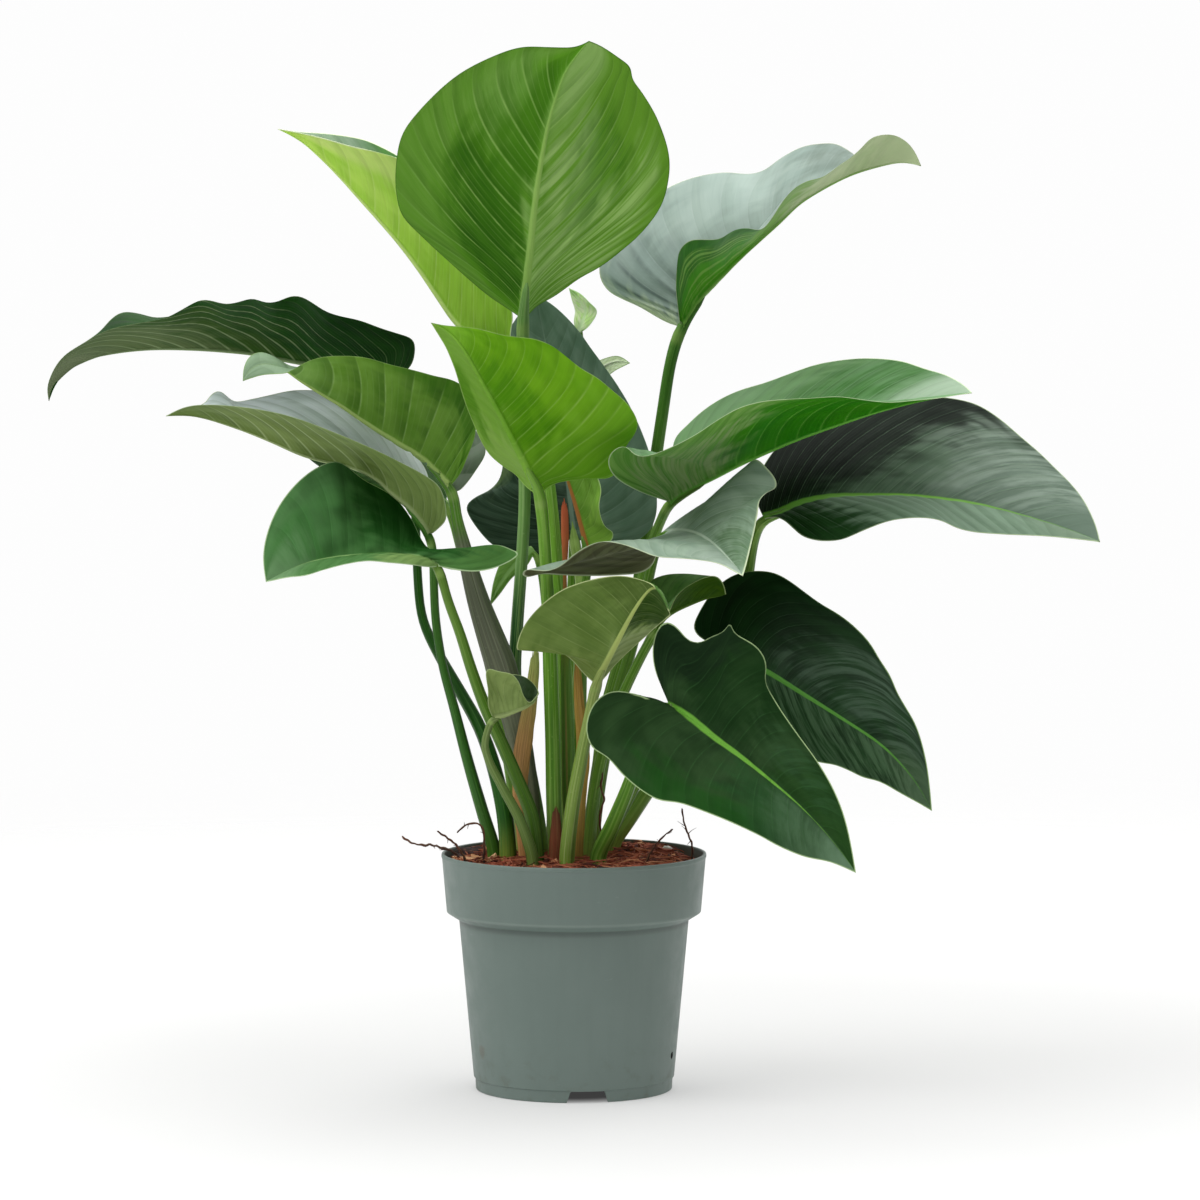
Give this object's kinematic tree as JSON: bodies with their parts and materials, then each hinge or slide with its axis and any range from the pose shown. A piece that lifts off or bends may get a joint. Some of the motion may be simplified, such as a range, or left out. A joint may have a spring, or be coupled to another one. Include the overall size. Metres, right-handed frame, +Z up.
{
  "type": "potted philodendron",
  "caption": "House plant with large heart-shaped leaves on long upright stalks, growing from bark mix in a plain round nursery pot with a thick rim band.",
  "frame": {"origin": "the middle of the pot's foot, on the surface the pot stands on", "axes": "+Z up along the pot's axis; the plant's front faces -Y"},
  "size_m": [0.7481, 0.3182, 0.7457],
  "materials": {
    "pot": "satin",
    "potting_mix": "matte",
    "leaf_01_top": "satin",
    "leaf_02_upper_left": "satin",
    "leaf_03_upper_right": "gloss",
    "leaf_04_left_long": "satin",
    "leaf_05_left_upper": "satin",
    "leaf_06_left_lower": "satin",
    "leaf_07_left_round": "gloss",
    "leaf_08_center": "satin",
    "leaf_09_right_upper": "satin",
    "leaf_10_right_dark": "gloss",
    "leaf_11_center_grey": "gloss",
    "leaf_12_small_right": "satin",
    "leaf_13_center_olive": "satin",
    "leaf_14_right_front": "gloss",
    "leaf_15_right_back": "gloss",
    "leaf_16_small_curl": "satin",
    "leaf_17_center_back": "satin",
    "leaf_18_left_back": "satin",
    "leaf_19_inner": "satin",
    "leaf_20_young_upper": "satin",
    "leaf_21_young_lower": "satin",
    "leaf_22_back_low": "satin",
    "petiole_01": "satin",
    "petiole_02": "satin",
    "petiole_03": "satin",
    "petiole_04": "satin",
    "petiole_05": "satin",
    "petiole_06": "satin",
    "petiole_07": "satin",
    "petiole_08": "satin",
    "petiole_09": "satin",
    "petiole_10": "satin",
    "petiole_11": "satin",
    "petiole_12": "satin",
    "petiole_13": "satin",
    "petiole_14": "satin",
    "petiole_15": "satin",
    "petiole_16": "satin",
    "petiole_17": "satin",
    "petiole_18": "satin",
    "petiole_19": "satin",
    "petiole_20": "satin",
    "petiole_21": "satin",
    "petiole_22": "satin",
    "sheath_center": "matte",
    "sheath_red": "matte",
    "sheath_orange": "matte",
    "sheath_upper": "matte",
    "root": "matte"
  },
  "bodies": {
    "root": {"pot": "pot", "potting_mix": "potting_mix", "leaf_01_top": "leaf_01_top", "leaf_02_upper_left": "leaf_02_upper_left", "leaf_03_upper_right": "leaf_03_upper_right", "leaf_04_left_long": "leaf_04_left_long", "leaf_05_left_upper": "leaf_05_left_upper", "leaf_06_left_lower": "leaf_06_left_lower", "leaf_07_left_round": "leaf_07_left_round", "leaf_08_center": "leaf_08_center", "leaf_09_right_upper": "leaf_09_right_upper", "leaf_10_right_dark": "leaf_10_right_dark", "leaf_11_center_grey": "leaf_11_center_grey", "leaf_12_small_right": "leaf_12_small_right", "leaf_13_center_olive": "leaf_13_center_olive", "leaf_14_right_front": "leaf_14_right_front", "leaf_15_right_back": "leaf_15_right_back", "leaf_16_small_curl": "leaf_16_small_curl", "leaf_17_center_back": "leaf_17_center_back", "leaf_18_left_back": "leaf_18_left_back", "leaf_19_inner": "leaf_19_inner", "leaf_20_young_upper": "leaf_20_young_upper", "leaf_21_young_lower": "leaf_21_young_lower", "leaf_22_back_low": "leaf_22_back_low", "petiole_01": "petiole_01", "petiole_02": "petiole_02", "petiole_03": "petiole_03", "petiole_04": "petiole_04", "petiole_05": "petiole_05", "petiole_06": "petiole_06", "petiole_07": "petiole_07", "petiole_08": "petiole_08", "petiole_09": "petiole_09", "petiole_10": "petiole_10", "petiole_11": "petiole_11", "petiole_12": "petiole_12", "petiole_13": "petiole_13", "petiole_14": "petiole_14", "petiole_15": "petiole_15", "petiole_16": "petiole_16", "petiole_17": "petiole_17", "petiole_18": "petiole_18", "petiole_19": "petiole_19", "petiole_20": "petiole_20", "petiole_21": "petiole_21", "petiole_22": "petiole_22", "sheath_center": "sheath_center", "sheath_red": "sheath_red", "sheath_orange": "sheath_orange", "sheath_upper": "sheath_upper", "root_left_curl": "root", "root_left_loop": "root", "root_left_twig": "root", "root_right_upright": "root", "root_centre_dry": "root", "root_right_twig": "root"}
  },
  "joints": []
}
